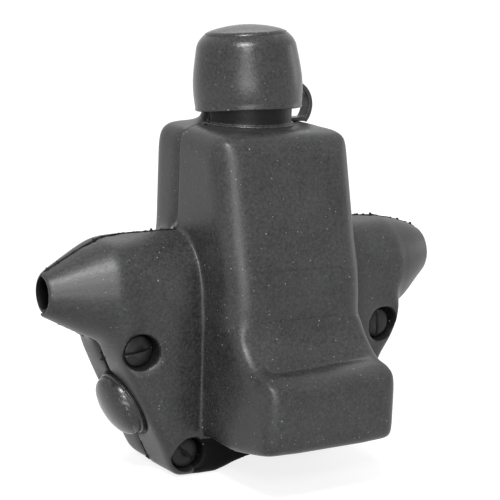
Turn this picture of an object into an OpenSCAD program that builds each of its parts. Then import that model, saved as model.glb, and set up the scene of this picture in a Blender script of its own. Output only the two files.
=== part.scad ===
// Insulation piercing connector: one main cable, two tap ports.
// Lengths in millimetres. X runs along the main cable, +Y to the back, +Z up along the bolt.

/* [Main tunnel] */
// outer radius of the tunnel round the main cable
tunnel_r = 13.5; // [13.3:0.1:14.5]
// half length of the tunnel between its two end cones
tunnel_half = 41.4; // [41:0.2:44]
// length of each end cone
cone_len = 15.8; // [13:0.2:20]
// hole radius at the mouth of a cone
mouth_r = 4.4; // [3.6:0.1:5]
// wall of the tunnel
tunnel_wall = 3.2; // [3:0.1:3.6]
// length of the straight lip at a mouth
lip_len = 3; // [2:0.5:4]
// wall of the lip
lip_wall = 0.8; // [0.7:0.1:1.2]

/* [Tower] */
// half width of the tower and the foot
tower_half = 19.7; // [19.2:0.1:20.6]
// height of the tower's top above the cable axis
tower_top = 39.4; // [39:0.2:42]
// front face at the tower's top, in front of the parting plane
front_at_top = 19.7; // [19.2:0.1:21]
// lean of the front face
front_lean = 13; // [12.5:0.25:14]
// step from the tunnel's back to the tower's back
back_step = 0.5; // [0.3:0.1:1]
// rounding of the tower's upright edges at the front
front_edge_r = 6.5; // [5:0.25:7]
// rounding of the tower's upright edges at the back
back_edge_r = 4.5; // [3:0.25:5]
// rounding of the tower's top edge at the front
top_front_r = 7.5; // [6:0.25:8]
// rounding of the tower's top edges at the sides
top_edge_r = 5; // [4:0.2:5.6]
// rounding of the tower's top edge at the back
top_back_r = 2.4; // [2:0.2:3]
// depth below the cable axis where the front face starts to flare
flare_start = 3.9; // [3:0.3:4.5]
// radius of the flare
flare_r = 20; // [19:0.5:21]
// steepness at the end of the flare
flare_end = 60; // [58:1:62]
// rounding of the flare's edges
flare_edge_r = 3.5; // [3:0.25:5]

/* [Foot] */
// side of the foot inside the side of the tower
foot_inset = 0.5; // [0.5:0.1:1.4]
// reach of the foot in front of the flare
foot_reach = 5.2; // [4.6:0.2:6]
// height of the foot's front face
foot_h = 17.4; // [17:0.2:19]
// rise of the foot's underside towards the front
foot_rise = 3.8; // [3:0.2:4.4]
// rounding of the foot's edges
foot_edge_r = 3; // [2.5:0.25:3.5]

/* [Wings] */
// upper edge of an end face below the tunnel's underside
corner_gap = 1.41; // [1.2:0.01:1.8]
// way down an end face from its upper edge to the tap axis
tap_along = 16.75; // [16.5:0.25:17.5]
// slant of a wing's end face
slant = 26.7; // [26:0.1:27.5]
// distance between the two screws of a wing
screw_pitch = 30.8; // [30.5:0.1:32]
// end face in front of the screws
end_margin = 5.4; // [5.2:0.1:6]
// leg bottom below the lower screws
leg_margin = 6.2; // [5.8:0.1:7]
// rounding of the end faces' edges
wing_edge_r = 3; // [2.5:0.25:4]
// rounding of the legs' outer corners
leg_edge_r = 5; // [4:0.25:6]
// rounding of the corners between the tunnel's ends and the end faces
corner_r = 2; // [1.5:0.25:3]
// rounding of the legs' bottom edges at the front and back
leg_hem_r = 3; // [2:0.25:3.5]
// half width of the arch between the legs
arch_half = 10; // [8:0.5:11]
// height of the arch between the legs
arch_h = 3; // [2:0.2:3.6]

/* [Neck, cap and strap] */
// outer radius of the split neck
neck_r = 11.34; // [11:0.1:11.8]
// length of the neck above the tower
neck_len = 10.6; // [10:0.2:11.4]
// gap between the two halves of the neck
neck_gap = 0.8; // [0.4:0.1:1.2]
// length of neck in sight below the cap
neck_sight = 4.5; // [4:0.1:5]
// wall of the cap's rim
cap_wall = 2.1; // [1.8:0.1:2.4]
// height of the cap
cap_h = 20.4; // [20:0.2:22]
// room round the bolt's head inside the cap
head_room = 2.1; // [1.9:0.1:2.4]
// shoulder of the cap inside its widest place
shoulder_in = 1.4; // [0.8:0.1:1.8]
// height and width of the sloping shoulder
shoulder_h = 1.95; // [1.5:0.05:2.2]
// height of the cap's domed lid
lid_h = 2; // [1.6:0.1:2.4]
// width of the strap's ring round the neck
ring_w = 0.8; // [0.6:0.1:1.3]
// height of the strap's ring
ring_h = 1; // [0.8:0.1:1.3]
// radius of the strap's arch
arch_out = 6.5; // [6:0.1:7]
// width of the strap
strap_w = 3.8; // [3:0.2:5]
// thickness of the strap
strap_t = 1.3; // [1:0.1:1.6]

/* [Bolt and shoe] */
// radius of the clamp bolt
bolt_r = 4; // [3.6:0.1:4.2]
// width across the flats of both hexagons
hex_af = 13; // [12:0.5:13.5]
// travel of the shoe
travel = 10; // [8:0.5:10.5]
// half length of the shoe along the cable
shoe_half = 11.4; // [10:0.2:12]

/* [Yoke] */
// half width of the yoke along the cable
yoke_half = 12.5; // [12.2:0.1:13]
// thickness of the yoke's upper arm
arm_t = 9.5; // [8.5:0.25:10]
// thickness of the yoke's lower arm
heel_t = 8.5; // [7.5:0.25:9]

/* [Contacts] */
// yoke's lower arm below the cable's bore, for the main contact and its teeth
contact_drop = 12.7; // [12.5:0.1:13]
// half length of the main contact
contact_half = 11; // [10:0.25:11.2]
// half depth of the main contact
contact_deep = 7; // [6.6:0.1:7.4]
// width of a tap contact
tap_contact_w = 5; // [4:0.25:5.5]

/* [Taps] */
// radius of a tap port
tap_r = 6; // [5:0.25:6.2]
// depth of a tap port
tap_depth = 19.4; // [18:0.2:19.6]
// end face left in front of and behind a plug's head
plug_margin = 4.5; // [4.2:0.1:5.1]
// height of a plug's dome over its edge
dome_h = 3.4; // [2.6:0.2:4]
// length of a plug's stem
stem_len = 8; // [6:0.5:9]

/* [Screws] */
// radius of a screw head
head_r = 3.9; // [3.4:0.1:4]
// depth of a screw head below the face of the wing
head_sink = 1.8; // [1:0.1:2]
// radius of a screw's shank
screw_r = 2.5; // [2:0.1:2.6]
// width of the slot
slot_w = 1.1; // [0.8:0.1:1.4]

/* [Hidden] */
$fn = 64;
// clearance between loose pieces, and in running fits
gap = 0.3;
run = 0.05;
far = 200;
// tunnel and mouths
bore_r = tunnel_r - tunnel_wall;
mouth_x = tunnel_half + cone_len;
// wing frame: n points out of the right end face, t up along it
nx = cos(slant);
nz = -sin(slant);
tx = sin(slant);
tz = cos(slant);
corner_z = -tunnel_r - corner_gap;
face_x = tunnel_half - tap_along * tx;
face_z = corner_z - tap_along * tz;
tap_x = face_x - end_margin * nx;
tap_drop = end_margin * nz - face_z;
upper_x = tap_x + tx * screw_pitch / 2;
upper_z = -tap_drop + tz * screw_pitch / 2;
lower_x = tap_x - tx * screw_pitch / 2;
lower_z = -tap_drop - tz * screw_pitch / 2;
leg_z = lower_z - leg_margin;
leg_x = face_x - (face_z - leg_z) * tan(slant);
arch_r = (arch_half * arch_half + arch_h * arch_h) / (2 * arch_h);
tower_back = tunnel_r + back_step;
// front face, as distance in front of the parting plane
flare_f = front_at_top + (tower_top + flare_start) * tan(front_lean);
flare_cf = flare_f + flare_r * cos(front_lean);
flare_cz = -flare_start + flare_r * sin(front_lean);
function front(z) = front_at_top + (tower_top - z) * tan(front_lean);
function flare(r, a) = [flare_cf - r * cos(a), flare_cz - r * sin(a)];
crease = flare(flare_r, flare_end);
foot_f = crease[0] + foot_reach;
foot_top = crease[1] + 0.2;
foot_low = foot_top - foot_h;
belly_z = foot_low - foot_rise;
// yoke levels
wall = 3.2;
arm_top = tower_top - 6.2;
arm_low = arm_top - arm_t;
heel_top = -bore_r - contact_drop;
heel_low = heel_top - heel_t;
yoke_back = tunnel_r - wall - gap;
yoke_heel = foot_f - wall - gap;
spine_f = bore_r + 1;
cave_half = yoke_half + gap;
// bolt levels, bolt raised
shoe_top = 2 * bore_r - 0.6;
pad_z = bore_r + 2.2;
tip_z = pad_z + 1.4;
hex_r = hex_af / sqrt(3);
neck_bore = hex_r + 0.9;
neck_top = tower_top + neck_len;
hex_low = arm_top + travel + 0.6;
hex_h = 6;
stub_top = hex_low + hex_h + 7;
head_top = hex_low + 2 * hex_h + 3.6;
clip_z = tip_z + 3;
clip_h = 1.1;
nut_r = 7;
// cap levels
rim_z = tower_top + neck_sight;
cap_in = neck_r + gap;
rim_r = cap_in + cap_wall - 0.05;
cap_r = rim_r + 0.15;
cap_top = rim_z + cap_h;
room_top = neck_top + 11;
room_r = hex_r + head_room;
// contact levels
contact_base = 4;
teeth_z = -bore_r - 1.7;
seal_z = teeth_z + 0.4;
seal_h = 2.4;
// tap ports, along their axis: seat of the plug's head, end of its stem, end of the contact plate
seat_x = end_margin - 0.9;
stem_x = seat_x - stem_len;
stem_r = tap_r + 0.3;
plug_r = tunnel_r - plug_margin;
plate_x = stem_x - 1;
tap_back = contact_deep;
tap_t = 2.4;
// screws
recess_r = head_r + 0.4;
head_y = -tunnel_r + head_sink;
head_h = 2.4;
seal_y = head_y + head_h;
seal_t = 0.9;
recess_y = seal_y + seal_t;
insert_r = screw_r + 1.1;
insert_y0 = 4.6;
insert_y1 = tunnel_r - wall;
// turns of the screws' slots: upper left, lower left, upper right, lower right
slot_turns = [-8, 40, 86, 20];

// Outlines

function unit(v) = v / norm(v);
function before(p, i) = p[(i + len(p) - 1) % len(p)];
function after(p, i) = p[(i + 1) % len(p)];
function centre(a, b, c, r) =
    let (u = unit(a - b), w = unit(c - b))
    b + unit(u + w) * r / sqrt((1 - u * w) / 2);
function onto(p, a, b) = a + unit(b - a) * ((p - a) * unit(b - a));

// convex outline with a true arc of radius r[i] at corner p[i]
module rounded(p, r) {
    c = [for (i = [0 : len(p) - 1]) centre(before(p, i), p[i], after(p, i), r[i])];
    polygon([for (i = [0 : len(p) - 1])
        each r[i] > 0 ? [onto(c[i], before(p, i), p[i]), onto(c[i], p[i], after(p, i))] : [p[i]]]);
    for (i = [0 : len(p) - 1])
        if (r[i] > 0)
            translate(c[i])
                circle(r = r[i]);
}

// outline in front distance and height, run along X over the half width w
module along_x(w) {
    rotate([90, 0, 90])
        translate([0, 0, -w])
            linear_extrude(2 * w)
                mirror([1, 0])
                    children();
}

// outline in X and height, run along Y from y0 to y1
module along_y(y0, y1) {
    translate([0, y1, 0])
        rotate([90, 0, 0])
            linear_extrude(y1 - y0)
                children();
}

// turned about the axis of a right-hand tap: X out of the face, Z up along it
module at_tap() {
    translate([tap_x, 0, -tap_drop])
        rotate([0, slant, 0])
            children();
}

module both_sides() {
    children();
    mirror([1, 0, 0])
        children();
}

// Outside of the closed housing

module wing_body() {
    intersection() {
        along_y(-far, far)
            rounded([[-leg_x, leg_z], [leg_x, leg_z], [tunnel_half, corner_z], [tunnel_half, far],
                     [-tunnel_half, far], [-tunnel_half, corner_z]],
                    [leg_edge_r, leg_edge_r, corner_r, 0, 0, corner_r]);
        along_x(far) {
            circle(r = tunnel_r);
            rounded([[-tunnel_r, leg_z], [tunnel_r, leg_z], [tunnel_r, 0], [-tunnel_r, 0]],
                    [leg_hem_r, leg_hem_r, 0, 0]);
        }
        wing_end();
        mirror([1, 0, 0])
            wing_end();
    }
}

// everything inside a right-hand end face, with its two long edges rounded
module wing_end() {
    e = wing_edge_r;
    at_tap()
        translate([0, 0, -far])
            linear_extrude(2 * far)
                rounded([[-far, -tunnel_r], [end_margin, -tunnel_r], [end_margin, tunnel_r],
                         [-far, tunnel_r]], [0, e, e, 0]);
}

module cones() {
    both_sides()
        translate([tunnel_half, 0, 0])
            rotate([0, 90, 0])
                cylinder(h = cone_len, r1 = tunnel_r, r2 = mouth_r + lip_wall);
}

// the tower down to the start of the flare, its front leaning
module tower_block() {
    e = front_edge_r;
    low = -flare_start - 12;
    intersection() {
        linear_extrude(far, center = true)
            rounded([[-tower_half, -far], [tower_half, -far], [tower_half, tower_back],
                     [-tower_half, tower_back]], [0, 0, back_edge_r, back_edge_r]);
        translate([0, -flare_f, -flare_start])
            rotate([-front_lean, 0, 0])
                translate([0, 0, -8])
                    linear_extrude(far)
                        rounded([[-tower_half, 0], [tower_half, 0], [tower_half, far],
                                 [-tower_half, far]], [e, e, 0, 0]);
        along_x(far)
            rounded([[-tower_back, low], [front(low), low], [front(tower_top), tower_top],
                     [-tower_back, tower_top]], [0, 0, top_front_r, top_back_r]);
        along_y(-far, far)
            rounded([[-tower_half, -far], [tower_half, -far], [tower_half, tower_top],
                     [-tower_half, tower_top]], [0, 0, top_edge_r, top_edge_r]);
    }
}

// the front sweeping forward into the foot
module flare_block() {
    e = flare_edge_r;
    w = tower_half - 0.2;
    deep = flare_r + 22;
    translate([0, -flare_cf, flare_cz])
        rotate([90, 0, 90])
            rotate([0, 0, -flare_end])
                rotate_extrude(angle = flare_end - front_lean - 7)
                    rounded([[flare_r, -w], [deep, -w], [deep, w], [flare_r, w]], [e, 0, 0, e]);
}

// the body behind the flare, between the foot and the wings
module filler_block() {
    along_x(tower_half - 0.4)
        polygon([[9, -16], [tunnel_r + 2, -16], [tunnel_r + 8, -22], [tunnel_r + 12, belly_z + 6],
                 [9, belly_z + 6]]);
}

module foot_block() {
    e = foot_edge_r;
    w = tower_half - foot_inset;
    intersection() {
        along_x(far)
            rounded([[8, belly_z + 1.6], [tunnel_r + 12, belly_z], [foot_f, foot_low],
                     [foot_f, foot_top - 0.6], [crease[0] - 4, foot_top], [8, foot_top]],
                    [0, 6, e, e, 0, 0]);
        linear_extrude(far, center = true)
            rounded([[-w, -foot_f], [w, -foot_f], [w, far], [-w, far]], [e + 1, e + 1, 0, 0]);
        along_y(-far, far)
            rounded([[-w, belly_z], [w, belly_z], [w, foot_top], [-w, foot_top]], [e, e, e, e]);
    }
}

module neck_block() {
    translate([0, 0, arm_top])
        cylinder(h = neck_top - arm_top, r = neck_r);
}

module outside() {
    wing_body();
    cones();
    tower_block();
    flare_block();
    filler_block();
    foot_block();
    neck_block();
}

// Hollows of the closed housing

module cable_way() {
    rotate([0, 90, 0])
        cylinder(h = 2 * tunnel_half, r = bore_r, center = true);
    both_sides() {
        translate([tunnel_half, 0, 0])
            rotate([0, 90, 0])
                cylinder(h = cone_len - lip_len, r1 = bore_r, r2 = mouth_r);
        translate([mouth_x - lip_len, 0, 0])
            rotate([0, 90, 0])
                cylinder(h = lip_len + 1, r = mouth_r);
    }
}

// outline of the room for yoke, shoe and contact, in front distance and height
function room_outline(c) =
    let (w = wall - c)
    concat([[-tunnel_r + w, arm_top + c], [front(arm_top + c) - w - 1.6, arm_top + c]],
           [flare(flare_r + w + 0.5, front_lean), flare(flare_r + w + 0.5, 36)],
           [[yoke_heel + c - 6, heel_top + 2.4 + c], [yoke_heel + c, heel_top + c],
            [yoke_heel + c, heel_low + 2.6 - c], [yoke_heel + c - 3, heel_low - c],
            [-tunnel_r + w, heel_low - c]]);

module mechanism_room() {
    along_x(cave_half)
        polygon(room_outline(gap));
    translate([0, 0, arm_top])
        cylinder(h = neck_top - arm_top + 1, r = neck_bore);
}

module arch() {
    translate([0, 0, leg_z + arch_h - arch_r])
        rotate([90, 0, 0])
            cylinder(h = far, r = arch_r, center = true);
}

module tap_way() {
    at_tap() {
        translate([end_margin - tap_depth, 0, 0])
            rotate([0, 90, 0])
                cylinder(h = tap_depth, r = tap_r);
        translate([stem_x - 0.5, 0, 0])
            rotate([0, 90, 0])
                cylinder(h = stem_len + 1, r = stem_r + run);
        translate([seat_x - 0.1, 0, 0])
            rotate([0, 90, 0])
                cylinder(h = far, r = plug_r + 0.4);
        translate([-far, -tap_back - tap_t - gap, -tap_contact_w / 2 - gap])
            cube([far + plate_x + gap, tap_t + gap + 2.4, tap_contact_w + 2 * gap]);
    }
}

module tap_ways() {
    both_sides()
        intersection() {
            tap_way();
            translate([contact_half - 2, -far, -far])
                cube([far, 2 * far, 2 * far]);
        }
}

module at_screws() {
    both_sides() {
        translate([upper_x, 0, upper_z])
            rotate([-90, 0, 0])
                children();
        translate([lower_x, 0, lower_z])
            rotate([-90, 0, 0])
                children();
    }
}

module screw_ways() {
    at_screws() {
        translate([0, 0, -far])
            cylinder(h = far + recess_y, r = recess_r);
        translate([0, 0, -far / 2])
            cylinder(h = far / 2 + insert_y1 - 1, r = screw_r + 0.1);
        translate([0, 0, insert_y0])
            cylinder(h = insert_y1 - insert_y0, r = insert_r);
    }
}

module neck_slit() {
    translate([-far / 2, -neck_gap / 2, tower_top])
        cube([far, neck_gap, far]);
}

module housing() {
    difference() {
        outside();
        cable_way();
        mechanism_room();
        arch();
        tap_ways();
        screw_ways();
        neck_slit();
    }
}

// Nodes

module front_housing() {
    color("#3a3b3d")
        intersection() {
            housing();
            translate([-far / 2, -far, -far / 2])
                cube([far, far, far]);
        }
}

module rear_housing() {
    color("#404144")
        intersection() {
            housing();
            translate([-far / 2, 0, -far / 2])
                cube([far, far, far]);
        }
}

// cap outline in radius and height
module cap_profile() {
    lid_z = cap_top - lid_h;
    lid_r = cap_r - shoulder_in - shoulder_h;
    shoulder_z = lid_z - shoulder_h;
    wide_z = rim_z + cap_h / 4;
    third = (shoulder_z - wide_z) / 3;
    polygon([[0, room_top], [room_r, room_top], [room_r, neck_top + 2 * gap], [cap_in, neck_top + gap],
             [cap_in, rim_z], [rim_r, rim_z], [cap_r, wide_z], [cap_r - shoulder_in / 7, wide_z + third],
             [cap_r - shoulder_in / 2, wide_z + 2 * third], [cap_r - shoulder_in, shoulder_z],
             [lid_r, lid_z], [lid_r - lid_h, lid_z + lid_h / 2.5], [lid_r / 2, cap_top - lid_h / 6],
             [0, cap_top]]);
}

module bolt_cap() {
    color("#38393b")
        rotate_extrude()
            cap_profile();
}

module cap_strap() {
    ring_z = tower_top + run;
    mid_x = cap_r - strap_t;
    mid_z = rim_z - gap;
    start = neck_r + ring_w / 2;
    color("#38393b") {
        difference() {
            translate([0, 0, ring_z])
                cylinder(h = ring_h, r = neck_r + ring_w);
            cylinder(h = far, r = neck_r + run);
        }
        difference() {
            along_y(-strap_w / 2, strap_w / 2) {
                translate([start, ring_z])
                    square([mid_x + arch_out - strap_t - start, ring_h]);
                intersection() {
                    translate([mid_x, mid_z])
                        difference() {
                            circle(r = arch_out);
                            circle(r = arch_out - strap_t);
                        }
                    translate([mid_x, ring_z])
                        square([far, far]);
                }
            }
            translate([0, 0, rim_z - 1])
                cylinder(h = far, r = cap_r + run);
        }
    }
}

module clamp_bolt() {
    color("#b9bcc0") {
        difference() {
            translate([0, 0, tip_z + run])
                cylinder(h = hex_low - tip_z, r = bolt_r);
            translate([0, 0, clip_z])
                difference() {
                    cylinder(h = clip_h, r = bolt_r + 1);
                    cylinder(h = clip_h, r = bolt_r - 0.8);
                }
        }
        translate([0, 0, hex_low])
            cylinder(h = hex_h, r = hex_r, $fn = 6);
        translate([0, 0, hex_low + hex_h])
            cylinder(h = 2, r1 = 3.6, r2 = 2.8);
        translate([0, 0, hex_low + hex_h])
            cylinder(h = stub_top - hex_low - hex_h, r = 2.8);
    }
}

module shear_head() {
    color("#a9a79c")
        difference() {
            translate([0, 0, hex_low + hex_h + 2])
                cylinder(h = head_top - hex_low - hex_h - 2, r = hex_r, $fn = 6);
            cylinder(h = stub_top, r = 2.8);
        }
}

module bolt_clip() {
    color("#8f9398")
        translate([0, 0, clip_z])
            difference() {
                cylinder(h = clip_h, r = bolt_r + 0.9);
                translate([0, 0, -1])
                    cylinder(h = clip_h + 2, r = bolt_r - 0.8);
                translate([-0.6, 0, -1])
                    cube([1.2, 2 * bolt_r, clip_h + 2]);
            }
}

module pressure_shoe() {
    side = spine_f - 0.8;
    color("#2c2e30")
        difference() {
            along_x(shoe_half)
                rounded([[-yoke_back + 0.6, bore_r - 4], [side, bore_r - 4], [side, shoe_top],
                         [-yoke_back + 0.6, shoe_top]], [0, 0, 3, 3]);
            rotate([0, 90, 0])
                cylinder(h = far, r = bore_r + 0.1, center = true);
            translate([0, 0, pad_z])
                cylinder(h = far, r = bolt_r + run);
            translate([0, 0, clip_z - gap])
                cylinder(h = clip_h + 2 * gap, r = bolt_r + 1.3);
        }
}

module thrust_disc() {
    color("#8f9398")
        translate([0, 0, pad_z])
            cylinder(h = tip_z - pad_z, r = bolt_r);
}

module clamp_yoke() {
    color("#a5a9ad")
        difference() {
            along_x(yoke_half)
                polygon(room_outline(0));
            translate([-far / 2, -spine_f, heel_top])
                cube([far, far, arm_low - heel_top]);
            cylinder(h = far, r = nut_r);
        }
}

module yoke_nut() {
    color("#8f9398")
        translate([0, 0, arm_low])
            difference() {
                cylinder(h = arm_t, r = nut_r);
                translate([0, 0, -1])
                    cylinder(h = arm_t + 2, r = bolt_r + run);
            }
}

// a blade across the cable with teeth pointing up, at x
module blade(x) {
    pitch = contact_deep / 3;
    base = heel_top + contact_base - 0.5;
    translate([x, 0, 0])
        along_x(1)
            polygon(concat([[-contact_deep, base]],
                           [for (i = [0 : 5])
                               each [[-contact_deep + i * pitch, teeth_z - 2.4],
                                     [-contact_deep + (i + 0.5) * pitch, teeth_z]]],
                           [[contact_deep, teeth_z - 2.4], [contact_deep, base]]));
}

module main_contact() {
    step = (2 * contact_half - 2) / 3;
    color("#c8b9a0") {
        translate([-contact_half, -contact_deep, heel_top])
            cube([2 * contact_half, 2 * contact_deep, contact_base]);
        for (i = [0 : 3])
            blade(-contact_half + 1 + i * step);
    }
}

module contact_seal() {
    in_x = contact_half + run;
    in_y = contact_deep + run;
    color("#4a4b46")
        translate([0, 0, seal_z - seal_h])
            difference() {
                translate([-in_x - 1.2, -in_y - 2.2, 0])
                    cube([2 * in_x + 2.4, 2 * in_y + 4.4, seal_h]);
                translate([-in_x, -in_y, -1])
                    cube([2 * in_x, 2 * in_y, seal_h + 2]);
            }
}

// right-hand tap contact: a toothed plate along the port's front side, its end on the main contact
module tap_contact() {
    w = tap_contact_w / 2;
    inner = -(tap_x - contact_half + 1) / nx;
    color("#c8b9a0")
        at_tap() {
            translate([inner, -tap_back - tap_t, -w])
                cube([plate_x - inner, tap_t, 2 * w]);
            for (i = [1 : 3])
                translate([plate_x + 1 - 3 * i, -tap_back, -w])
                    linear_extrude(2 * w)
                        polygon([[-0.8, -0.2], [0.8, -0.2], [0, 0.7]]);
        }
}

module left_tap_contact() {
    mirror([1, 0, 0])
        tap_contact();
}

module right_tap_contact() {
    tap_contact();
}

// right-hand plug: domed head in a shallow seat, stem in the port
module tap_plug() {
    edge = 2.2;
    ball = (plug_r * plug_r + dome_h * dome_h) / (2 * dome_h);
    color("#3c3d3f")
        at_tap()
            rotate([0, 90, 0]) {
                translate([0, 0, stem_x])
                    cylinder(h = stem_len, r = stem_r);
                translate([0, 0, seat_x])
                    cylinder(h = edge, r = plug_r);
                intersection() {
                    translate([0, 0, seat_x + edge + dome_h - ball])
                        sphere(r = ball);
                    translate([0, 0, seat_x + edge])
                        cylinder(h = dome_h + 1, r = plug_r);
                }
            }
}

module left_tap_plug() {
    mirror([1, 0, 0])
        tap_plug();
}

module right_tap_plug() {
    tap_plug();
}

// screw with its slot turned by a, on the Y axis
module screw(a) {
    color("#2f3032")
        rotate([-90, 0, 0]) {
            difference() {
                translate([0, 0, head_y])
                    cylinder(h = head_h, r = head_r);
                translate([0, 0, head_y])
                    rotate([0, 0, a])
                        cube([2 * head_r + 2, slot_w, 2.4], center = true);
            }
            translate([0, 0, seal_y])
                cylinder(h = insert_y1 - 1.5 - seal_y, r = screw_r);
        }
}

module upper_left_screw() {
    translate([-upper_x, 0, upper_z])
        screw(slot_turns[0]);
}

module lower_left_screw() {
    translate([-lower_x, 0, lower_z])
        screw(slot_turns[1]);
}

module upper_right_screw() {
    translate([upper_x, 0, upper_z])
        screw(slot_turns[2]);
}

module lower_right_screw() {
    translate([lower_x, 0, lower_z])
        screw(slot_turns[3]);
}

// soft ring under a screw head, on the Y axis
module seal_ring() {
    color("#55564f")
        rotate([-90, 0, 0])
            translate([0, 0, seal_y])
                difference() {
                    cylinder(h = seal_t, r = head_r);
                    translate([0, 0, -1])
                        cylinder(h = seal_t + 2, r = screw_r + run);
                }
}

module upper_left_seal() {
    translate([-upper_x, 0, upper_z])
        seal_ring();
}

module lower_left_seal() {
    translate([-lower_x, 0, lower_z])
        seal_ring();
}

module upper_right_seal() {
    translate([upper_x, 0, upper_z])
        seal_ring();
}

module lower_right_seal() {
    translate([lower_x, 0, lower_z])
        seal_ring();
}

module threaded_inserts() {
    color("#b59a5b")
        at_screws()
            translate([0, 0, insert_y0])
                difference() {
                    cylinder(h = insert_y1 - insert_y0, r = insert_r);
                    translate([0, 0, -1])
                        cylinder(h = far, r = screw_r + run);
                }
}

front_housing();
rear_housing();
bolt_cap();
cap_strap();
clamp_bolt();
shear_head();
bolt_clip();
pressure_shoe();
thrust_disc();
clamp_yoke();
yoke_nut();
main_contact();
contact_seal();
left_tap_contact();
right_tap_contact();
left_tap_plug();
right_tap_plug();
upper_left_screw();
lower_left_screw();
upper_right_screw();
lower_right_screw();
upper_left_seal();
lower_left_seal();
upper_right_seal();
lower_right_seal();
threaded_inserts();
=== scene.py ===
import math

import bmesh
import bpy
from mathutils import Matrix, Quaternion, Vector, noise
from mathutils.bvhtree import BVHTree


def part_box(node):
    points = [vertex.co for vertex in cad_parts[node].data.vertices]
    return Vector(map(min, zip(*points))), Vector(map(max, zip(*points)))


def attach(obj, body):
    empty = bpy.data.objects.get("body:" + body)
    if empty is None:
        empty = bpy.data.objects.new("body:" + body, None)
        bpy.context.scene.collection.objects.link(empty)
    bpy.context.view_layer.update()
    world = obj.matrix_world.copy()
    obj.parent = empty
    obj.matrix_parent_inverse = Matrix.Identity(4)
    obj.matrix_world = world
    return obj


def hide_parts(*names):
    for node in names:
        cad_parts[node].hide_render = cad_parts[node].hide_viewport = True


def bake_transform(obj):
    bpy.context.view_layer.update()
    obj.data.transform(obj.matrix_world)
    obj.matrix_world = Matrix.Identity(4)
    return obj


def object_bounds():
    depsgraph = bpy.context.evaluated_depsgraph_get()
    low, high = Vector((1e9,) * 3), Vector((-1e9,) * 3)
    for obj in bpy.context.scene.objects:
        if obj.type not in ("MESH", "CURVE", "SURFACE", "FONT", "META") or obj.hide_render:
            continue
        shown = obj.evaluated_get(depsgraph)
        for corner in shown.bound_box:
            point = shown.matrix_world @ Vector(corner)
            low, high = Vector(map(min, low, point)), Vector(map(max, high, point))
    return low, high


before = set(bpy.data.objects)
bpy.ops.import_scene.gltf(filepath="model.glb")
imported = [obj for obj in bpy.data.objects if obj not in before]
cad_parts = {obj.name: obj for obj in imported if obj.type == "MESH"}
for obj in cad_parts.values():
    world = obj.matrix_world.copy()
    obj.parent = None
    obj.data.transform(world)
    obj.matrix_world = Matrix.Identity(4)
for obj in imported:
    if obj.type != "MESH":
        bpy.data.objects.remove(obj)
cad_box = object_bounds()
MM = 0.001

# Housing halves
# The body of the connector: two thick mouldings of black rubber that meet on the plane through the
# main cable and the clamp bolt. They leave the mould with soft edges and a dusty, slightly waxy skin,
# and four screws hold them together.
CELL = 0.4 * MM
HOUSING_FACES = 185000
TUNNEL_HALF = 41.4 * MM
CONE_LENGTH = 15.8 * MM
LIP_LENGTH = 5 * MM
TOWER_TOP = 39.4 * MM
NECK_R = 11.34 * MM
CONE_LIFT = 2.6 * MM
CONE_SWELL = 0.27
CONE_SHORT = 1.4 * MM
WING_PUSH = 1.5 * MM
WING_SWELL = 1.4 * MM
GROOVE_WIDTH = 0.5 * MM
GROOVE_DEPTH = 0.8 * MM
BORE_R = 10.3 * MM
MOUTH_R = 4.4 * MM
MOUTH_START = 54.2 * MM
LIP_FLARE = 0.4 * MM
ROOM_HALF = 12.8 * MM
# The tower's front, in millimetres: each swell or hollow is a middle, a width and a push.
FLARE_TOP = (29.7, -3.9)
FLARE_R = 20.0
FRONT_LEAN = math.radians(13)
SIDE_SKIN = (13.5, 10)
FRONT_SKIN = (2.6, 1.6)
PANEL_SWELL = (6.0, 5.0, -0.5)
FLARE_HOLLOW = (-9.5, 6.0, 1.7)
LEDGE_FILL = (39.2, 2.6, 1.1)
CREASE = (-36.4, -15.1)
CREASE_WAY = Vector((0, 0.5, -0.866))
CREASE_DEPTH = 2.0
CREASE_WIDTH = 1.8
BELLY_LIFT = 1.2 * MM
TAP_AXIS = Vector((0.893371, 0, -0.449319))
RECESS_R = 4.7 * MM
SCREW_PLACES = []
for screw in ("upper_right_screw", "lower_right_screw"):
    screw_low, screw_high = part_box(screw)
    SCREW_PLACES.append(((screw_low.x + screw_high.x) / 2, (screw_low.z + screw_high.z) / 2))
RUBBER_DARK = (0.005, 0.0051, 0.0053, 1)
RUBBER_PALE = (0.039, 0.0393, 0.04, 1)
# Painted shade: the next tones darken the cable's bore, the recess under the foot, the neck under the cap and
# the screw recesses; the mould flash uses the last two as well.
DEEP_SHADE_BLACK = (0.0015, 0.0015, 0.0015, 1)
SHADE_AND_FLASH_DARK = (0.003, 0.003, 0.003, 1)
SHADE_AND_FLASH_PALE = (0.011, 0.011, 0.011, 1)
DUST = (0.2, 0.2, 0.195, 1)
MOTTLE_SHARE = 0.55


def group_sockets(name, inputs, outputs):
    """An empty shader group with its input and output nodes."""
    tree = bpy.data.node_groups.new(name, "ShaderNodeTree")
    for label, default in inputs:
        socket = tree.interface.new_socket(label, in_out="INPUT", socket_type="NodeSocketFloat")
        socket.default_value = default
    for label in outputs:
        tree.interface.new_socket(label, in_out="OUTPUT", socket_type="NodeSocketFloat")
    return tree, tree.nodes.new("NodeGroupInput"), tree.nodes.new("NodeGroupOutput")


def math_node(tree, operation, first, second):
    """A math node on two sockets or numbers."""
    node = tree.nodes.new("ShaderNodeMath")
    node.operation = operation
    for socket, value in zip(node.inputs, (first, second)):
        if isinstance(value, (int, float)):
            socket.default_value = value
        else:
            tree.links.new(value, socket)
    return node.outputs[0]


def noise_node(tree, coordinates, scale, detail, roughness=0.5):
    """The value of a noise texture on object coordinates. The scale may be a socket."""
    node = tree.nodes.new("ShaderNodeTexNoise")
    node.inputs["Detail"].default_value = detail
    node.inputs["Roughness"].default_value = roughness
    tree.links.new(coordinates, node.inputs["Vector"])
    if isinstance(scale, (int, float)):
        node.inputs["Scale"].default_value = scale
    else:
        tree.links.new(scale, node.inputs["Scale"])
    return node.outputs[0]


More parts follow.
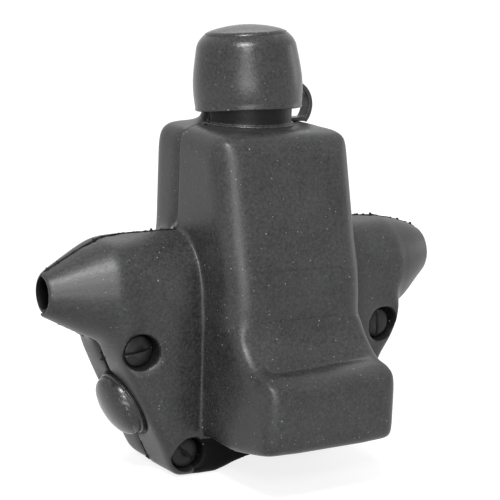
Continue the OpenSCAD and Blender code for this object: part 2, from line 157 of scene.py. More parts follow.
def grain_group():
    """Skin of a moulding: fine pimples on slow waves, as a height."""
    tree, given, out = group_sockets(
        "moulded_grain", [("Grain scale", 1700.0), ("Wave scale", 190.0), ("Wave share", 0.6)], ["Height"])
    place = tree.nodes.new("ShaderNodeTexCoord").outputs["Object"]
    fine = noise_node(tree, place, given.outputs["Grain scale"], 3.0, 0.6)
    slow = noise_node(tree, place, given.outputs["Wave scale"], 3.0, 0.45)
    waves = math_node(tree, "MULTIPLY", slow, given.outputs["Wave share"])
    tree.links.new(math_node(tree, "ADD", fine, waves), out.inputs["Height"])
    return tree


def bloom_group():
    """Cloudy bloom on rubber: a tone from 0, fresh and dark, to 1, dull and pale."""
    tree, given, out = group_sockets("rubber_bloom", [("Cloud scale", 70.0), ("Contrast", 1.8)], ["Tone"])
    place = tree.nodes.new("ShaderNodeTexCoord").outputs["Object"]
    clouds = noise_node(tree, place, given.outputs["Cloud scale"], 7.0, 0.68)
    centred = math_node(tree, "SUBTRACT", clouds, 0.5)
    spread = math_node(tree, "MULTIPLY", centred, given.outputs["Contrast"])
    tone = math_node(tree, "ADD", spread, 0.5)
    clamp = tree.nodes.new("ShaderNodeClamp")
    tree.links.new(tone, clamp.inputs["Value"])
    tree.links.new(clamp.outputs[0], out.inputs["Tone"])
    return tree


def speck_group():
    """Loose dust: pale specks of uneven strength, each cell of the pattern holding one at most."""
    tree, given, out = group_sockets(
        "dust_specks", [("Cell scale", 1000.0), ("Size", 0.2), ("Share", 0.9)], ["Mask"])
    place = tree.nodes.new("ShaderNodeTexCoord").outputs["Object"]
    cells = tree.nodes.new("ShaderNodeTexVoronoi")
    tree.links.new(place, cells.inputs["Vector"])
    tree.links.new(given.outputs["Cell scale"], cells.inputs["Scale"])
    chance = tree.nodes.new("ShaderNodeSeparateColor")
    tree.links.new(cells.outputs["Color"], chance.inputs[0])
    size = math_node(tree, "MULTIPLY", chance.outputs[1], given.outputs["Size"])
    inside = math_node(tree, "LESS_THAN", cells.outputs["Distance"], size)
    chosen = math_node(tree, "LESS_THAN", chance.outputs[0], given.outputs["Share"])
    strength = math_node(tree, "POWER", chance.outputs[2], 3.0)
    faint = math_node(tree, "MULTIPLY", inside, strength)
    tree.links.new(math_node(tree, "MULTIPLY", faint, chosen), out.inputs["Mask"])
    return tree


GRAIN = grain_group()
BLOOM = bloom_group()
SPECKS = speck_group()


def placed_group(tree, group, **values):
    """A group's node in a material, with its own values on the named inputs."""
    node = tree.nodes.new("ShaderNodeGroup")
    node.node_tree = group
    for label, value in values.items():
        node.inputs[label.replace("_", " ")].default_value = value
    return node


def mixed(tree, factor, first, second):
    """A colour mix. Each colour is a socket or four numbers."""
    node = tree.nodes.new("ShaderNodeMix")
    node.data_type = "RGBA"
    tree.links.new(factor, node.inputs["Factor"])
    for socket, value in zip((node.inputs[6], node.inputs[7]), (first, second)):
        if isinstance(value, tuple):
            socket.default_value = value
        else:
            tree.links.new(value, socket)
    return node.outputs[2]


def ranged(tree, value, low, high):
    """A value from 0 to 1, spread from low to high."""
    node = tree.nodes.new("ShaderNodeMapRange")
    tree.links.new(value, node.inputs["Value"])
    node.inputs["To Min"].default_value = low
    node.inputs["To Max"].default_value = high
    return node.outputs[0]


def bumped(tree, height, shader, depth):
    """A bump of some depth in metres on a shader's normal."""
    node = tree.nodes.new("ShaderNodeBump")
    node.inputs["Strength"].default_value = 1.0
    node.inputs["Distance"].default_value = depth
    tree.links.new(height, node.inputs["Height"])
    tree.links.new(node.outputs[0], shader.inputs["Normal"])


def empty_material(name):
    """A node material and its Principled shader."""
    material = bpy.data.materials.new(name)
    material.use_nodes = True
    return material, material.node_tree, material.node_tree.nodes["Principled BSDF"]


def rubber(name, dark=RUBBER_DARK, pale=RUBBER_PALE, gloss=(0.3, 0.48), depth=0.05 * MM, dust=0.9,
           shine=0.36):
    """Moulded black rubber with bloom, grain and dust."""
    material, tree, shader = empty_material(name)
    clouds = placed_group(tree, BLOOM).outputs["Tone"]
    mottle = placed_group(tree, BLOOM, Cloud_scale=1300.0, Contrast=3.6).outputs["Tone"]
    clouds = math_node(tree, "MULTIPLY", clouds, 1 - MOTTLE_SHARE)
    tone = math_node(tree, "ADD", clouds, math_node(tree, "MULTIPLY", mottle, MOTTLE_SHARE))
    specks = placed_group(tree, SPECKS, Share=dust).outputs["Mask"]
    skin = mixed(tree, specks, mixed(tree, tone, dark, pale), DUST)
    tree.links.new(skin, shader.inputs["Base Color"])
    shader.inputs["Specular IOR Level"].default_value = shine
    tree.links.new(ranged(tree, tone, *gloss), shader.inputs["Roughness"])
    bumped(tree, placed_group(tree, GRAIN).outputs["Height"], shader, depth)
    return material


def added(name, mesh, material):
    """A new smooth-shaded object in the scene, with one material."""
    piece = bpy.data.objects.new(name, mesh)
    bpy.context.scene.collection.objects.link(piece)
    mesh.materials.clear()
    mesh.materials.append(material)
    for face in mesh.polygons:
        face.use_smooth = True
    return piece


def apply_modifiers(piece):
    """Makes a piece's modifiers part of its mesh."""
    depsgraph = bpy.context.evaluated_depsgraph_get()
    shaped = bpy.data.meshes.new_from_object(piece.evaluated_get(depsgraph))
    old = piece.data
    piece.modifiers.clear()
    piece.data = shaped
    bpy.data.meshes.remove(old)


def soften(piece, turns, weight):
    """Smooths a mesh over some turns, each point by as much as weight(point) says."""
    group = piece.vertex_groups.new(name="soft")
    for vertex in piece.data.vertices:
        amount = weight(vertex.co)
        if amount > 0:
            group.add([vertex.index], amount, "REPLACE")
    modifier = piece.modifiers.new("soften", "SMOOTH")
    modifier.factor = 0.5
    modifier.iterations = turns
    modifier.vertex_group = group.name
    apply_modifiers(piece)
    piece.vertex_groups.clear()


def ramp(value, start, end):
    """0 before start, 1 after end, smooth between."""
    t = min(max((value - start) / (end - start), 0), 1)
    return t * t * (3 - 2 * t)


def screw_distance(point):
    """How far a point is from the axis of the nearest screw."""
    return min(math.hypot(abs(point.x) - x, point.z - z) for x, z in SCREW_PLACES)


def edge_weight(point):
    """All edges, with the thin lips of the mouths and the parting edges kept."""
    lips = ramp(abs(point.x), TUNNEL_HALF + CONE_LENGTH - LIP_LENGTH, TUNNEL_HALF + CONE_LENGTH)
    parting = 1 - ramp(abs(point.y), 0.5 * MM, 1.5 * MM)
    recess = 1 - ramp(screw_distance(point), 4.8 * MM, 5.6 * MM)
    return 1 - max(0.75 * lips, 0.7 * parting, 0.8 * recess)


def cone_root_weight(point):
    """Where a cone grows out of the slanted end."""
    across = 1 - ramp(abs(abs(point.x) - TUNNEL_HALF), 2 * MM, 7 * MM)
    below = ramp(-point.z, 4 * MM, 10 * MM) * (1 - ramp(-point.z, 17 * MM, 22 * MM))
    return across * below


def cone_edge_weight(point):
    """The soft edge between a cone and the tunnel, on the outside."""
    across = 1 - ramp(abs(abs(point.x) - TUNNEL_HALF), 2 * MM, 6 * MM)
    return across * ramp(math.hypot(point.y, point.z), BORE_R + 0.3 * MM, BORE_R + 1.2 * MM)


def tower_corner_weight(point):
    """The tower's front corners, its flanks beside the foot and the corners of the foot's front."""
    out = ramp(abs(point.x), 9 * MM, 15 * MM)
    top = ramp(point.z, 26 * MM, 33 * MM) * ramp(-point.y, 5 * MM, 11 * MM)
    side = ramp(point.z, -13 * MM, -7 * MM) ** 2 * ramp(-point.y, 12 * MM, 16 * MM)
    foot = ramp(-point.y, 26 * MM, 32 * MM) * (1 - ramp(point.z, -20 * MM, -14 * MM))
    flank = ramp(-point.y, 12 * MM, 16 * MM) * ramp(-point.z, 22 * MM, 27 * MM)
    flank *= 1 - ramp(abs(point.x), 20 * MM, 21 * MM)
    return out * max(top, side, foot, flank)


def wing_edge_weight(point):
    """The front edge of a wing's slanted end, rounder near the cone than below, and on the left."""
    outer = abs(point.x) * TAP_AXIS.x + point.z * TAP_AXIS.z
    near_end = ramp(outer, 33 * MM, 39 * MM) * ramp(-point.y, 4 * MM, 7 * MM)
    left = 1 if point.x < 0 else 0.15
    return near_end * ramp(-point.z, 2 * MM, 9 * MM) * (1 - 0.6 * ramp(-point.z, 18 * MM, 34 * MM)) * left


def swollen_wing(point):
    """The wings swell forward a little towards the tower."""
    step = (2.2 + 2 * ramp(point.z, -8 * MM, 0)) * MM
    inward = (1 - ramp(abs(point.x), 25 * MM, 37 * MM)) * ramp(abs(point.x), 19 * MM, 19 * MM + step)
    front = ramp(-point.y, 3 * MM, 12 * MM) * (1 - ramp(point.z, -2 * MM, 9 * MM))
    front *= 1 - ramp(-point.z, 36 * MM, 44 * MM)
    return Vector((point.x, point.y - WING_SWELL * inward * front, point.z))


def front_distance(height):
    """How far the tower's front stands before the parting plane at some height, in millimetres."""
    reach, start = FLARE_TOP
    if height > start:
        return reach - (height - start) * math.tan(FRONT_LEAN)
    turn = math.asin(min(math.sin(FRONT_LEAN) + (start - height) / FLARE_R, 1))
    return reach + FLARE_R * (math.cos(FRONT_LEAN) - math.cos(turn))


def reshaped_front(point):
    """The tower's lower front: a nearly upright panel, a hollow, then a crease and a sloping ledge."""
    x, y, z = point / MM
    beside_room = abs(x) > ROOM_HALF / MM + 0.4
    skin, depth = SIDE_SKIN if beside_room else (front_distance(z) - FRONT_SKIN[0], FRONT_SKIN[1])
    front = ramp(-y, skin, skin + depth)
    moved = Vector((0, 0, 0))
    for middle, width, push in (PANEL_SWELL, FLARE_HOLLOW):
        moved.y += front * push * math.exp(-((z - middle) / width) ** 2)
    middle, width, push = LEDGE_FILL
    moved.z += push * math.exp(-((-y - middle) / width) ** 2) * ramp(z, -24, -19)
    off = math.hypot(y - CREASE[0], z - CREASE[1]) / CREASE_WIDTH
    along = (1 - ramp(abs(x), 12, 16)) * (1 - 0.7 * ramp(x, -6, 14))
    moved += CREASE_WAY * CREASE_DEPTH * math.exp(-off * off) * along
    return point + moved * MM * (1 - ramp(abs(x), 19.4, 20.4))


def wing_root_weight(point):
    """The swollen inner edge of a wing's front, beside the tower."""
    across = ramp(abs(point.x), 18 * MM, 19.5 * MM) * (1 - ramp(abs(point.x), 22 * MM, 25 * MM))
    return across * ramp(-point.y, 8 * MM, 11 * MM) * (1 - ramp(point.z, 0, 8 * MM))


def lifted_belly(point):
    """The underside ends a little higher in the middle and on the right than on the left."""
    low = ramp(point.x, -14 * MM, -8 * MM) * ramp(-point.z, 41 * MM, 47 * MM)
    return point + Vector((0, 0, BELLY_LIFT * low))


def under_foot(point):
    """Whether a point is behind the foot's lower edge."""
    return abs(point.x) < 20 * MM and point.z < -37.6 * MM and -30 * MM < point.y < -6 * MM


def in_recess(point):
    """Whether a point is in the recess of a screw."""
    return point.y < 0 and screw_distance(point) < RECESS_R


def in_bore(point):
    """Whether a point is in the cable's bore."""
    taper = min(max((abs(point.x) - TUNNEL_HALF) / (MOUTH_START - TUNNEL_HALF), 0), 1)
    return math.hypot(point.y, point.z) < BORE_R + (MOUTH_R - BORE_R) * taper + 0.2 * MM


def on_neck(point):
    """Whether a point is on the neck under the cap."""
    return point.z > TOWER_TOP + 0.7 * MM and math.hypot(point.x, point.y) < NECK_R + 0.5 * MM


def thinned_lip(point):
    """The mouths flare out to a thin edge."""
    flare = LIP_FLARE * ramp(abs(point.x), MOUTH_START, TUNNEL_HALF + CONE_LENGTH) * in_bore(point)
    radius = max(math.hypot(point.y, point.z), MM)
    return Vector((point.x, point.y * (1 + flare / radius), point.z * (1 + flare / radius)))


def lifted_cone(point):
    """The right cone sits bent up a little, shorter and blunter than the left, over a fuller wing."""
    along = ramp(point.x, TUNNEL_HALF - 2 * MM, TUNNEL_HALF + CONE_LENGTH + 4 * MM)
    grown = 1 + CONE_SWELL * along
    wing = ramp(point.x, 35 * MM, 39 * MM) * ramp(-point.z, 4 * MM, 10 * MM)
    wing *= 1 - ramp(-point.z, 16 * MM, 24 * MM)
    return Vector((point.x - CONE_SHORT * along + WING_PUSH * wing, point.y * grown,
                   point.z * grown + CONE_LIFT * along))


def moulding(node, name, material):
    """A copy of a housing half with the soft edges of a rubber moulding."""
    shape = bmesh.new()
    shape.from_mesh(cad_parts[node].data)
    bmesh.ops.remove_doubles(shape, verts=shape.verts, dist=0.001 * MM)
    mesh = bpy.data.meshes.new(name)
    shape.to_mesh(mesh)
    shape.free()
    piece = added(name, mesh, material)
    cells = piece.modifiers.new("cells", "REMESH")
    cells.mode = "VOXEL"
    cells.voxel_size = CELL
    apply_modifiers(piece)
    for turns, weight in ((8, edge_weight), (60, cone_root_weight), (130, cone_edge_weight),
                          (150, tower_corner_weight), (90, wing_edge_weight)):
        soften(piece, turns, weight)
    for vertex in piece.data.vertices:
        if vertex.co.y < -2 * MM:
            vertex.co = reshaped_front(swollen_wing(vertex.co))
    soften(piece, 60, wing_root_weight)
    facing = [vertex.normal.copy() for vertex in piece.data.vertices]
    for vertex, normal in zip(piece.data.vertices, facing):
        out = Vector((normal.x, 0, normal.z))
        near = 1 - ramp(abs(vertex.co.y), 0.1 * MM, GROOVE_WIDTH)
        if near > 0 and out.length > 0.3:
            vertex.co -= out.normalized() * GROOVE_DEPTH * near
    thin = piece.modifiers.new("thin", "DECIMATE")
    thin.ratio = min(1, HOUSING_FACES / (2 * len(piece.data.polygons)))
    apply_modifiers(piece)
    # Painted shade: faces on the neck under the cap and in the screw recesses take the darker second rubber.
    piece.data.materials.append(PAINTED_HALF_SHADE)
    piece.data.materials.append(PAINTED_DEEP_SHADE)
    for face in piece.data.polygons:
        face.use_smooth = True
        # Painted shade: faces in the cable's bore and behind the foot's lower edge take the near-black third
        # rubber.
        shade = in_bore(face.center) or under_foot(face.center)
        face.material_index = 2 if shade else int(on_neck(face.center) or in_recess(face.center))
    for vertex in piece.data.vertices:
        vertex.co = lifted_cone(thinned_lip(lifted_belly(vertex.co)))
    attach(piece, "housing")
    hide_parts(node)
    return piece


BODY_RUBBER = rubber("body_rubber")
# Painted shade: a darker, duller copy of the body rubber for the neck under the cap and the screw recesses.
PAINTED_HALF_SHADE = rubber("painted_half_shade", SHADE_AND_FLASH_DARK, SHADE_AND_FLASH_PALE, (0.35, 0.5), dust=0.4, shine=0.15)
# Painted shade: a near-black, dull copy of the body rubber for the cable's bore and the recess under the
# foot.
PAINTED_DEEP_SHADE = rubber("painted_deep_shade", DEEP_SHADE_BLACK, SHADE_AND_FLASH_DARK, (0.45, 0.6), dust=0.2, shine=0.06)
front_half = moulding("front_housing", "front_half", BODY_RUBBER)
rear_half = moulding("rear_housing", "rear_half", BODY_RUBBER)

# Mould flash and insert frame
# Where the mould's halves met, thin ragged rubber flash was left standing along the joint of the housing,
# thickest over the cable tunnel. The faint frame on the tower's front is left by an insert in the mould.
FLASH_STEP = 0.4 * MM
FLASH_SIDE = 1.3 * MM
FLASH_BACK = 0.9
FLASH_SINK = 0.1 * MM
FLASH_ENDS = (56.2, 41.8, 20.2)
FLASH_RUBBER = rubber("flash_rubber", SHADE_AND_FLASH_DARK, SHADE_AND_FLASH_PALE, (0.5, 0.7), dust=0.3, shine=0.15)
skin = []
for half in (front_half, rear_half):
    skin.append(BVHTree.FromPolygons([v.co.copy() for v in half.data.vertices],
                                     [f.vertices[:] for f in half.data.polygons]))


def landed(start, direction):
    """The first point of the housing that a ray meets."""
    hits = [tree.ray_cast(start, direction) for tree in skin]
    hits = [hit for hit in hits if hit[0] is not None]
    return min(hits, key=lambda hit: hit[3])[0] if hits else None


def bead(name, places, thick, ragged, seed, material=FLASH_RUBBER):
    """A thin uneven bead of rubber along points of the housing."""
    curve = bpy.data.curves.new(name, "CURVE")
    curve.dimensions = "3D"
    curve.bevel_depth = 1.0
    curve.bevel_resolution = 1
    curve.use_fill_caps = True
    spline = curve.splines.new("POLY")
    spline.points.add(len(places) - 1)
    for number, (point, place) in enumerate(zip(spline.points, places)):
        wave = noise.noise(Vector((number * 0.37, seed, 0)))
        tooth = max(0, noise.noise(Vector((number * 0.83, seed, 7)))) ** 2
        point.co = (*place, 1)
        point.radius = max(0.04 * MM, thick * (0.75 + 0.5 * wave) + ragged * tooth)
    holder = bpy.data.objects.new(name, curve)
    bpy.context.scene.collection.objects.link(holder)
    mesh = bpy.data.meshes.new_from_object(holder.evaluated_get(bpy.context.evaluated_depsgraph_get()))
    bpy.data.objects.remove(holder)
    piece = added(name, mesh, material)
    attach(piece, "housing")


def run(first, last, ray):
    """Points of the housing where rays from first to last land."""
    count = max(2, round((last - first).length / FLASH_STEP))
    places = [landed(first.lerp(last, i / count), ray) for i in range(count + 1)]
    return [place for place in places if place is not None]


def seam_run(first, last, ray, sink):
    """Points along the joint of the halves, found just beside its groove, brought over it and sunk."""
    beside = Vector((0, -FLASH_SIDE, 0))
    return [place - beside * FLASH_BACK + ray * sink for place in run(first + beside, last + beside, ray)]


for side, name in ((-1, "left"), (1, "right")):
    far_x = side * 75 * MM
    inward = Vector((-side, 0, 0))
    down = Vector((0, 0, -1))
    high, deep = 60 * MM, -70 * MM
    mouth_x, cone_x, tower_x = (side * x * MM for x in FLASH_ENDS)
    top = seam_run(Vector((mouth_x, 0, high)), Vector((tower_x, 0, high)), down, 0.0)
    bead(f"{name}_top_flash", top, 0.32 * MM, 2.2 * MM, 3.1 + side)
    under = seam_run(Vector((mouth_x, 0, deep)), Vector((cone_x, 0, deep)), -down, FLASH_SINK)
    bead(f"{name}_under_flash", under, 0.24 * MM, 0.8 * MM, 19.3 + side)
    upper_end = seam_run(Vector((far_x, 0, -16 * MM)), Vector((far_x, 0, -22.5 * MM)), inward, FLASH_SINK)
    bead(f"{name}_end_flash", upper_end, 0.44 * MM, 1.8 * MM, 27.9 + side)
    lower_end = seam_run(Vector((far_x, 0, -40.6 * MM)), Vector((far_x, 0, -45.6 * MM)), inward, FLASH_SINK)
    bead(f"{name}_leg_flash", lower_end, 0.36 * MM, 1.4 * MM, 33.3 + side)

FRAME_MIDDLE = (-1.1, 1.0)
FRAME_HALF = (13.6, 6.0)
FRAME_R = 2.6
FRAME_FROM = -90
frame_path = []
for turn in range(4):
    corner_x, corner_z = ((1, 1), (-1, 1), (-1, -1), (1, -1))[turn]
    centre_x = FRAME_MIDDLE[0] + corner_x * (FRAME_HALF[0] - FRAME_R)
    centre_z = FRAME_MIDDLE[1] + corner_z * (FRAME_HALF[1] - FRAME_R)
    for part in range(6):
        angle = math.radians(90 * turn + 18 * part)
        frame_path.append((centre_x + FRAME_R * math.cos(angle), centre_z + FRAME_R * math.sin(angle)))
frame_path.append(frame_path[0])
frame_places = []
for (x0, z0), (x1, z1) in zip(frame_path, frame_path[1:]):
    start, end = Vector((x0, FRAME_FROM, z0)) * MM, Vector((x1, FRAME_FROM, z1)) * MM
    frame_places += run(start, end, Vector((0, 1, 0)))
bead("marking_frame", frame_places, 0.12 * MM, 0.7 * MM, 41.7, BODY_RUBBER)

# Bolt cap
# A soft moulded rubber cap pushed over the split neck, which keeps the bolt head dry. It has settled a
# little to one side.
CAP_OUTLINE = [(0, 61.0), (9.6, 61.0), (9.6, 50.8), (11.64, 50.2), (11.64, 43.9), (13.35, 43.9),
               (13.6, 44.05), (13.45, 44.3), (13.62, 45.6), (13.79, 47.4), (13.84, 49.2), (13.76, 51.0),
               (13.56, 52.8), (13.3, 54.6), (13.01, 56.4), (12.7, 58.2), (12.35, 60.0), (10.55, 61.85),
               (10.2, 61.55), (10.3, 62.2), (8.8, 62.85), (7.0, 63.32), (5.0, 63.72), (2.6, 64.02),
               (0, 64.12)]
CAP_EDGES = [((11.64, 43.9), 0.3), ((12.35, 60.0), 1.25), ((10.55, 61.85), 0.08)]
CAP_PIVOT = Vector((0, 0, 52.0)) * MM
CAP_LEAN = math.radians(4.3)
CAP_SHIFT = 0.28 * MM
RIM_SAG = 1.0 * MM
RIM_HEIGHT = 43.9 * MM
LEAN_AXIS = Vector((-0.5437, -0.8384, 0))
SAG_AXIS = Vector((0.8384, -0.5437, 0))


def spun(outline, steps=96):
    """A turned shape about Z from radii and heights in millimetres, as a mesh under work."""
    shape = bmesh.new()
    points = [shape.verts.new((r * MM, 0, z * MM)) for r, z in outline]
    edges = [shape.edges.new(pair) for pair in zip(points, points[1:])]
    bmesh.ops.spin(shape, geom=points + edges, cent=(0, 0, 0), axis=(0, 0, 1), dvec=(0, 0, 0),
                   angle=2 * math.pi, steps=steps, use_merge=True, use_duplicate=False)
    bmesh.ops.remove_doubles(shape, verts=shape.verts, dist=0.001 * MM)
    bmesh.ops.recalc_face_normals(shape, faces=shape.faces)
    return shape


def round_rings(shape, rings):
    """Rounds the circular edges that run through the given outline points, each by its own width."""
    for (radius, height), width in rings:
        edges = [edge for edge in shape.edges
                 if all(abs(v.co.z - height * MM) < 0.002 * MM
                        and abs(math.hypot(v.co.x, v.co.y) - radius * MM) < 0.05 * MM for v in edge.verts)]
        bmesh.ops.bevel(shape, geom=edges, offset=width * MM, offset_type="OFFSET", segments=5, profile=0.5,
                        affect="EDGES", clamp_overlap=True, material=-1)


def finished(shape, name, material, body, nodes):
    """Ends the work on a mesh and gives it to its body in place of CAD nodes."""
    mesh = bpy.data.meshes.new(name)
    shape.to_mesh(mesh)
    shape.free()
    piece = added(name, mesh, material)
    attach(piece, body)
    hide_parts(*nodes)
    return piece


CAP_RUBBER = rubber("cap_rubber", gloss=(0.23, 0.34))
cap_shape = spun(CAP_OUTLINE)
round_rings(cap_shape, CAP_EDGES)
for point in cap_shape.verts:
    sideways = (point.co.dot(SAG_AXIS) / max(math.hypot(point.co.x, point.co.y), MM)) ** 2
    low = 1 - ramp(point.co.z, RIM_HEIGHT, RIM_HEIGHT + 8 * MM)
    point.co.z -= RIM_SAG * (sideways - 0.2) * low
lean = (Matrix.Translation(CAP_PIVOT - CAP_SHIFT * SAG_AXIS) @ Matrix.Rotation(CAP_LEAN, 4, LEAN_AXIS)
        @ Matrix.Translation(-CAP_PIVOT))
bmesh.ops.transform(cap_shape, matrix=lean, verts=cap_shape.verts)
finished(cap_shape, "cap", CAP_RUBBER, "cap", ["bolt_cap"])

# Cap strap
# Moulded with the cap's rubber: a ring round the neck and a short arched band up to the side of the cap,
# so that the cap can't be lost.
RING_OUTLINE = [(11.4, 39.45), (12.1, 39.45), (11.95, 39.95), (11.4, 40.1), (11.4, 39.45)]
ARCH_MIDDLE = Vector((12.44, 0, 43.5)) * MM
ARCH_R = 5.85 * MM
ARCH_START = math.radians(-42)
ARCH_END = math.radians(77)
BAND_WIDTH = 3.8 * MM
BAND_THICK = 1.3 * MM
TAIL = ((11.9, 17.4), (39.45, 40.45))

strap_shape = spun(RING_OUTLINE)
band_x = ARCH_MIDDLE.x + ARCH_R
section = [strap_shape.verts.new((band_x + dx * BAND_THICK / 2, dy * BAND_WIDTH / 2, ARCH_MIDDLE.z))
           for dx, dy in ((-1, -1), (1, -1), (1, 1), (-1, 1))]
first = strap_shape.faces.new(section)
bmesh.ops.rotate(strap_shape, verts=section, cent=ARCH_MIDDLE, matrix=Matrix.Rotation(-ARCH_START, 3, "Y"))
bmesh.ops.spin(strap_shape, geom=[first], cent=ARCH_MIDDLE, axis=(0, -1, 0), dvec=(0, 0, 0),
               angle=ARCH_END - ARCH_START, steps=24, use_duplicate=False)
tail = bmesh.ops.create_cube(strap_shape, size=1)["verts"]
(tail_in, tail_out), (tail_low, tail_high) = TAIL
tail_size = ((tail_out - tail_in) * MM, BAND_WIDTH, (tail_high - tail_low) * MM)
bmesh.ops.scale(strap_shape, verts=tail, vec=tail_size)
bmesh.ops.translate(strap_shape, verts=tail, vec=(sum(TAIL[0]) / 2 * MM, 0, sum(TAIL[1]) / 2 * MM))
bmesh.ops.recalc_face_normals(strap_shape, faces=strap_shape.faces)
strap_mesh = bpy.data.meshes.new("strap")
strap_shape.to_mesh(strap_mesh)
strap_shape.free()
strap = added("strap", strap_mesh, CAP_RUBBER)
strap_cells = strap.modifiers.new("cells", "REMESH")
strap_cells.mode = "VOXEL"
strap_cells.voxel_size = 0.16 * MM
apply_modifiers(strap)
soften(strap, 5, lambda point: 1.0)
for face in strap.data.polygons:
    face.use_smooth = True
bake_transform(strap)
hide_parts("cap_strap")

# Tap plugs
# Domed rubber plugs pushed into the two tap ports, each with a thin flange in a shallow round seat on the
# slanted end. They are pulled out when a tap cable goes in.
PLUG_OUTLINE = [(0, -7.8), (6.2, -7.8), (6.2, 0.1), (8.7, 0.1), (8.7, 1.2), (8.3, 1.3), (8.25, 2.5),
                (7.3, 4.0), (5.2, 4.9), (2.6, 5.4), (0, 5.55)]
PLUG_EDGES = [((6.2, -7.8), 0.6), ((8.7, 0.1), 0.2), ((8.7, 1.2), 0.2), ((8.25, 2.5), 0.9), ((7.3, 4.0), 0.9)]
TAP_POINT = Vector((29.05, 0, -27.45)) * MM
PLUG_SEAT = 4.5 * MM

PLUG_RUBBER = rubber("plug_rubber", gloss=(0.2, 0.27), depth=0.01 * MM, dust=0.5)
for side, name in ((-1, "left"), (1, "right")):
    axis = Vector((side * TAP_AXIS.x, 0, TAP_AXIS.z))
    seat = Vector((side * TAP_POINT.x, 0, TAP_POINT.z)) + axis * PLUG_SEAT
    plug_shape = spun(PLUG_OUTLINE)
    round_rings(plug_shape, PLUG_EDGES)
    placing = Matrix.Translation(seat) @ axis.to_track_quat("Z", "Y").to_matrix().to_4x4()
    bmesh.ops.transform(plug_shape, matrix=placing, verts=plug_shape.verts)
    finished(plug_shape, f"{name}_plug", PLUG_RUBBER, f"{name}_plug", [f"{name}_tap_plug"])

# Housing screws
# Four blackened slotted screws that draw the rear half onto the front half. Their heads sit in round
# recesses of the wings, and each has stopped at its own turn.
HEAD_R = 3.9
HEAD_HEIGHT = 2.4
HEAD_EDGE = 1.75
SHANK_R = 2.5
SLOT_WIDTH = 0.75
SLOT_DEPTH = 1.2
SCREWS = {"upper_left": -8, "lower_left": 40, "upper_right": 86, "lower_right": 20}


def blackened(name):
    """Black oxide on steel: dark, a little worn where a screwdriver has slipped."""
    material, tree, shader = empty_material(name)
    tone = placed_group(tree, BLOOM, Cloud_scale=420.0, Contrast=2.4).outputs["Tone"]
    specks = placed_group(tree, SPECKS, Cell_scale=1100.0, Size=0.16, Share=0.2).outputs["Mask"]
    skin = mixed(tree, tone, (0.005, 0.005, 0.005, 1), (0.016, 0.016, 0.016, 1))
    tree.links.new(mixed(tree, specks, skin, (0.2, 0.2, 0.19, 1)), shader.inputs["Base Color"])
    tree.links.new(ranged(tree, tone, 0.32, 0.55), shader.inputs["Roughness"])
    shader.inputs["Specular IOR Level"].default_value = 0.22
    bumped(tree, placed_group(tree, GRAIN, Grain_scale=1800.0).outputs["Height"], shader, 0.02 * MM)
    return material


SCREW_BLACK = blackened("screw_black")
for place, turn in SCREWS.items():
    low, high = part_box(f"{place}_screw")
    centre = (low + high) / 2
    length = (high.y - low.y) / MM
    shank = -(length - HEAD_HEIGHT)
    outline = [(0, shank), (SHANK_R, shank), (SHANK_R, 0), (HEAD_R, 0), (HEAD_R, HEAD_EDGE),
               (HEAD_R - 0.6, HEAD_EDGE + 0.3), (HEAD_R / 2, HEAD_HEIGHT - 0.1), (0, HEAD_HEIGHT)]
    screw_shape = spun(outline, 64)
    round_rings(screw_shape, [((SHANK_R, shank), 0.4), ((HEAD_R, HEAD_EDGE), 0.3)])
    for edge_side in (-1, 1):
        whole = screw_shape.verts[:] + screw_shape.edges[:] + screw_shape.faces[:]
        bmesh.ops.bisect_plane(screw_shape, geom=whole,
                               plane_co=(0, edge_side * SLOT_WIDTH / 2 * MM, 0), plane_no=(0, 1, 0))
    slot_faces = []
    for face in screw_shape.faces:
        middle = face.calc_center_median()
        if face.normal.z > 0.2 and abs(middle.y) < SLOT_WIDTH / 2 * MM and middle.z > MM:
            slot_faces.append(face)
    sunk = bmesh.ops.extrude_face_region(screw_shape, geom=slot_faces)["geom"]
    sunk_points = [part for part in sunk if isinstance(part, bmesh.types.BMVert)]
    for point in sunk_points:
        point.co.z = (HEAD_HEIGHT - SLOT_DEPTH) * MM
    bmesh.ops.delete(screw_shape, geom=[f for f in slot_faces if f.is_valid], context="FACES_ONLY")
    bmesh.ops.recalc_face_normals(screw_shape, faces=screw_shape.faces)
    facing = Matrix.Rotation(math.radians(90), 4, "X") @ Matrix.Rotation(math.radians(-turn), 4, "Z")
    head_face = Vector((centre.x, low.y + HEAD_HEIGHT * MM, centre.z))
    bmesh.ops.transform(screw_shape, matrix=Matrix.Translation(head_face) @ facing, verts=screw_shape.verts)
    finished(screw_shape, f"{place}_slotted", SCREW_BLACK, f"{place}_fixing", [f"{place}_screw"])

# Clamping parts
# Inside the tower: a plated steel bolt with a zinc shear head, its clip and thrust disc, the nut in a cast
# aluminium yoke, and a moulded shoe that presses on the cable.


def metal(name, colour, roughness, flecks, depth):
    """Plated or cast metal with a cloudy tone and a fine skin."""
    material, tree, shader = empty_material(name)
    tone = placed_group(tree, BLOOM, Cloud_scale=flecks, Contrast=1.6).outputs["Tone"]
    dull = tuple(c * 0.72 for c in colour) + (1,)
    tree.links.new(mixed(tree, tone, colour + (1,), dull), shader.inputs["Base Color"])
    tree.links.new(ranged(tree, tone, roughness - 0.08, roughness + 0.1), shader.inputs["Roughness"])
    shader.inputs["Metallic"].default_value = 1.0
    bumped(tree, placed_group(tree, GRAIN, Grain_scale=flecks * 9).outputs["Height"], shader, depth)
    return material


def dress(material, *nodes):
    """Puts a material on CAD nodes that keep their own mesh."""
    for node in nodes:
        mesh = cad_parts[node].data
        mesh.materials.clear()
        mesh.materials.append(material)


